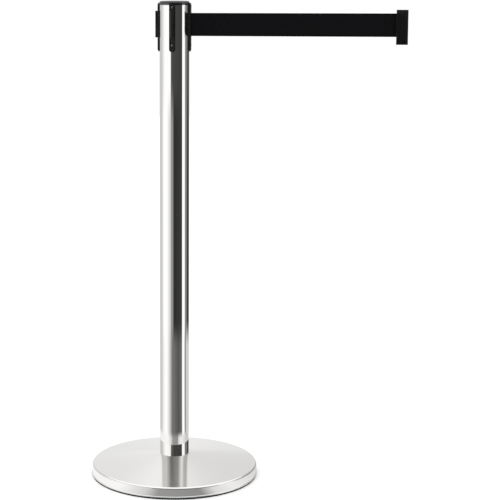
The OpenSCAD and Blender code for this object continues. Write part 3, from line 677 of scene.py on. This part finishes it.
def makeStitches(hemLow, hemHigh):
    surface = webbing["thickness"] - hemming["threadRadius"] * hemming["threadSunk"]
    verts, edges = [], []
    for offset in hemming["stitchRows"]:
        for side in (-1, 1):
            for z in (hemLow.z + hemming["margin"], hemHigh.z - hemming["margin"]):
                verts.append((hemLow.x + offset, side * surface, z))
            edges.append((len(verts) - 2, len(verts) - 1))
    stitches = addObject("hemStitches", verts, [], edges)
    runTree(stitches, makeStitchTree(), {
        "Thread Radius": hemming["threadRadius"], "Stitch Length": hemming["stitchLength"],
        "Spacing": hemming["stitchGap"], "Material": finishes["webbing"]})
    smoothBut(stitches.data, hemming["hardAngle"])
    return finishPiece(stitches, "clip", "webbing")


def makeLead():  # from the roll to the rollers, round the rear one
    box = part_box("belt_lead")
    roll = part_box("belt_roll")[1].x
    rollerLow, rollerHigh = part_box("guide_roller_rear")
    rollerX, rollerY = (rollerLow.x + rollerHigh.x) / 2, (rollerLow.y + rollerHigh.y) / 2
    half = webbing["thickness"] / 2
    out = roll + winding["rollClearance"] + half
    distance = math.hypot(rollerX, rollerY)
    leave = math.degrees(math.atan2(rollerY, rollerX) + math.acos((out + rollerY) / distance))
    start = (out * math.cos(math.radians(leave)), out * math.sin(math.radians(leave)))
    turn = arc(rollerX, rollerY, rollerY, 180 + leave, 270, 12)
    lead = upright("leadBelt", bandAlong([start] + turn, webbing["thickness"]), [box[0].z, box[1].z])
    finishPiece(lead, "stand", "webbing", "belt_lead")
    return lead, math.dist(start, turn[0]) + winding["roundRoller"]


def makeRollTree():
    tree, given = startTree("woundRoll", {
        "Turns": "Float", "Inner Radius": "Float", "Outer Radius": "Float", "Resolution": "Int",
        "Thickness": "Float", "Width": "Float", "Material": "Material"})
    spiral = addNode(tree, "GeometryNodeCurveSpiral", None, {"Height": 0.0},
                     {"Resolution": given["Resolution"], "Rotations": given["Turns"],
                      "Start Radius": given["Inner Radius"], "End Radius": given["Outer Radius"]})
    section = addNode(tree, "GeometryNodeCurvePrimitiveQuadrilateral", None, None,
                      {"Width": given["Thickness"], "Height": given["Width"]})
    strip = addNode(tree, "GeometryNodeCurveToMesh", None, {"Fill Caps": True},
                    {"Curve": spiral.outputs[0], "Profile Curve": section.outputs[0]})
    endTree(tree, strip.outputs[0], given["Material"])
    return tree


def makeRoll(length):  # the rest of the belt, as a spiral that fills the wound roll
    low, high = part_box("belt_roll")
    inner = winding["coreRadius"] + webbing["gap"] + webbing["thickness"] / 2
    outer = high.x - webbing["thickness"] / 2
    turns = length / (math.pi * (inner + outer))
    roll = addObject("woundBelt", [(0, 0, 0)], [])
    runTree(roll, makeRollTree(), {
        "Turns": turns, "Inner Radius": inner, "Outer Radius": outer, "Resolution": winding["resolution"],
        "Thickness": webbing["thickness"] * winding["squash"], "Width": webbing["width"],
        "Material": finishes["webbing"]})
    for v in roll.data.vertices:
        v.co.z += (low.z + high.z) / 2
    facesOutward(roll)
    smoothBut(roll.data, webbing["hardAngle"])
    return finishPiece(roll, "reel", "webbing", "belt_roll"), (outer - inner) / turns


drawnBelt, beltLow, beltHigh = makeDrawnBelt()
beltHem, hemLow, hemHigh, hemLength = makeHem()
hemStitches = makeStitches(hemLow, hemHigh)
leadBelt, leadLength = makeLead()
drawnLength = beltHigh.x - beltLow.x
woundLength = webbing["length"] - drawnLength - leadLength - hemLength
woundBelt, layerPitch = makeRoll(woundLength)
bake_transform(drawnBelt)
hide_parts("belt")
print("wove the belt: drawn", round(drawnLength, 4), "guided", round(leadLength, 4),
      "hem", round(hemLength, 4), "wound", round(woundLength, 4),
      "layers every", round(layerPitch * 1000, 3), "mm")


def makeFloor():
    size = dict(radius=9.0, under=0.0001, steps=64, colour="#F4F4F3", roughness=0.9)
    turns = [2 * math.pi * i / size["steps"] for i in range(size["steps"])]
    edge = [(size["radius"] * math.cos(t), size["radius"] * math.sin(t), -size["under"]) for t in turns]
    floor = addObject("studioFloor", edge, [list(range(size["steps"]))])
    floor.data.materials.append(startMaterial(
        "paleStudioFloor", Base_Color=hexColour(size["colour"]), Roughness=size["roughness"])[0])
    floor.visible_glossy = False  # polished pieces see the light cards instead


def makeCards():
    # what the polished pieces reflect: white softboxes, grey walls and dark gaps round the stage, as the
    # brightness at so many degrees round from the front, the belt's side positive; only reflections see it
    # the ramps hold brightness over gain, since a ramp's colours stop at 1
    cards = dict(radius=8.0, height=6.0, under=0.0002, lid=0.01, steps=120, rimFloor=(0.30, 0.36),
                 nearFloor=(1.15, 1.55), lowerWall=(0.0, 0.4), upperWall=(1.25, 2.0), ceiling=1.15, gain=2.0)
    rimStops = [(-170, 0.9), (-40, 1.05), (-15, 0.7), (-5, 0.35), (30, 0.3), (42, 0.8), (60, 0.95),
                (120, 0.6), (150, 0.8)]
    nearStops = [(-172, 0.85), (-140, 0.65), (-105, 0.65), (-85, 1.0), (-55, 1.15), (-40, 0.9), (-25, 0.6),
                 (-10, 0.2), (40, 0.1), (60, 0.15), (69, 0.2), (71, 1.1), (88, 1.15), (100, 0.3),
                 (110, 0.3), (113, 0.75), (150, 0.65), (176, 0.8)]
    farStops = [(-172, 0.9), (-140, 0.65), (-105, 0.65), (-85, 1.1), (-55, 1.2), (-40, 0.9), (-22, 0.75),
                (-20, 0.3), (-8, 0.35), (4, 0.03), (69, 0.05), (71, 1.15), (90, 1.15), (98, 0.8),
                (100, 0.25), (122, 0.2), (126, 0.03), (150, 0.05), (176, 0.8)]
    wallStops = [(-172, 0.9), (-140, 0.65), (-105, 0.65), (-85, 0.95), (-65, 1.15), (-22, 1.15),
                 (-20, 0.2), (-10, 0.07), (69, 0.05), (71, 1.15), (90, 1.15), (98, 0.8), (100, 0.2),
                 (122, 0.25), (126, 0.05), (150, 0.08), (176, 0.8)]
    upperStops = [(-177, 0.8), (-171, 0.95), (-167, 0.95), (-163, 0.85), (-110, 0.65), (-70, 0.7),
                  (-20, 0.15), (40, 0.3), (75, 0.95), (104, 0.5), (150, 0.5), (172, 0.7)]
    count = cards["steps"]
    turns = [2 * math.pi * i / count for i in range(count)]
    verts = [(cards["radius"] * math.cos(t), cards["radius"] * math.sin(t), z - cards["under"])
             for z in (0.0, cards["height"]) for t in turns]
    faces = [list(range(count)), list(range(count, 2 * count))]
    faces += [[i, (i + 1) % count, count + (i + 1) % count, count + i] for i in range(count)]
    wrap = addObject("studioCards", verts, faces)
    material = bpy.data.materials.new("studioCardLight")
    material.use_nodes = True
    tree = material.node_tree
    tree.nodes.remove(tree.nodes["Principled BSDF"])
    axes = addNode(tree, "ShaderNodeSeparateXYZ",
                   links={0: addNode(tree, "ShaderNodeTexCoord").outputs["Object"]})
    back = addNode(tree, "ShaderNodeMath", {"operation": "MULTIPLY"}, {1: -1.0}, {0: axes.outputs["Y"]})
    angle = addNode(tree, "ShaderNodeMath", {"operation": "ARCTAN2"}, None,
                    {0: axes.outputs["X"], 1: back.outputs[0]})
    roundShare = addNode(tree, "ShaderNodeMapRange", None, {"From Min": -math.pi, "From Max": math.pi},
                     {"Value": angle.outputs[0]})

    def levels(stops):  # brightness stops as ramp stops, closed across the back
        first, last = stops[0], stops[-1]
        share = (180 - last[0]) / (first[0] + 360 - last[0])
        seam = last[1] + (first[1] - last[1]) * share
        every = [(-180, seam)] + stops + [(180, seam)]
        return [((d + 180) / 360, (b / cards["gain"],) * 3 + (1.0,)) for d, b in every]

    flat = addNode(tree, "ShaderNodeCombineXYZ", links={"X": axes.outputs["X"], "Y": axes.outputs["Y"]})
    radius = addNode(tree, "ShaderNodeVectorMath", {"operation": "LENGTH"}, links={0: flat.outputs[0]})
    outward, upward = radius.outputs["Value"], axes.outputs["Z"]
    rim = addNode(tree, "ShaderNodeValToRGB", None, None, {0: roundShare.outputs[0]}, levels(rimStops))
    ring = rim.outputs[0]
    zones = ((outward, "rimFloor", nearStops), (outward, "nearFloor", farStops),
             (upward, "lowerWall", wallStops), (upward, "upperWall", upperStops))
    for place, edge, stops in zones:
        zone = addNode(tree, "ShaderNodeValToRGB", None, None, {0: roundShare.outputs[0]}, levels(stops))
        share = addNode(tree, "ShaderNodeMapRange", {"interpolation_type": "SMOOTHSTEP"},
                        {"From Min": cards[edge][0], "From Max": cards[edge][1]}, {"Value": place})
        ring = addNode(tree, "ShaderNodeMix", {"data_type": "RGBA"}, None,
                       {0: share.outputs[0], 6: ring, 7: zone.outputs[0]}).outputs[2]
    roof = addNode(tree, "ShaderNodeMath", {"operation": "GREATER_THAN"},
                   {1: cards["height"] - cards["lid"]},
                   {0: axes.outputs["Z"]})
    light = [cards["ceiling"] / cards["gain"]] * 3 + [1.0]
    whole = addNode(tree, "ShaderNodeMix", {"data_type": "RGBA"}, {7: light},
                    {0: roof.outputs[0], 6: ring})
    glow = addNode(tree, "ShaderNodeEmission", None, {"Strength": cards["gain"]},
                   {"Color": whole.outputs[2]})
    tree.links.new(glow.outputs[0], tree.nodes["Material Output"].inputs["Surface"])
    material.cycles.emission_sampling = "NONE"
    wrap.data.materials.append(material)
    wrap.visible_camera = False
    wrap.visible_diffuse = False
    wrap.visible_transmission = False
    wrap.visible_volume_scatter = False
    wrap.visible_shadow = False


def makeLights():
    light = dict(sky=1.02, key=1.2, spread=110, keyTurn=(22, 0, -30))
    world = bpy.data.worlds.new("studioWhite")
    world.use_nodes = True
    world.node_tree.nodes["Background"].inputs["Color"].default_value = (1, 1, 1, 1)
    world.node_tree.nodes["Background"].inputs["Strength"].default_value = light["sky"]
    scene.world = world
    key = bpy.data.objects.new("softKey", bpy.data.lights.new("softKey", "SUN"))
    key.data.energy = light["key"]
    key.data.angle = math.radians(light["spread"])
    key.rotation_euler = [math.radians(a) for a in light["keyTurn"]]
    key.visible_glossy = False
    scene.collection.objects.link(key)


def makeCamera():
    view = dict(azimuth=8.5, distance=3.135, height=1.052, pitch=8.36, lens=106.9, sensor=36, shiftX=0.151,
                shiftY=-0.09)
    camera = bpy.data.objects.new("studioCamera", bpy.data.cameras.new("studioCamera"))
    turn = math.radians(view["azimuth"])
    camera.location = (view["distance"] * math.sin(turn), -view["distance"] * math.cos(turn), view["height"])
    camera.rotation_euler = (math.radians(90 - view["pitch"]), 0, turn)
    camera.data.lens = view["lens"]
    camera.data.sensor_width = view["sensor"]
    camera.data.shift_x = view["shiftX"]
    camera.data.shift_y = view["shiftY"]
    scene.collection.objects.link(camera)
    scene.camera = camera


makeFloor()
makeCards()
makeLights()
makeCamera()
print("set the stage")
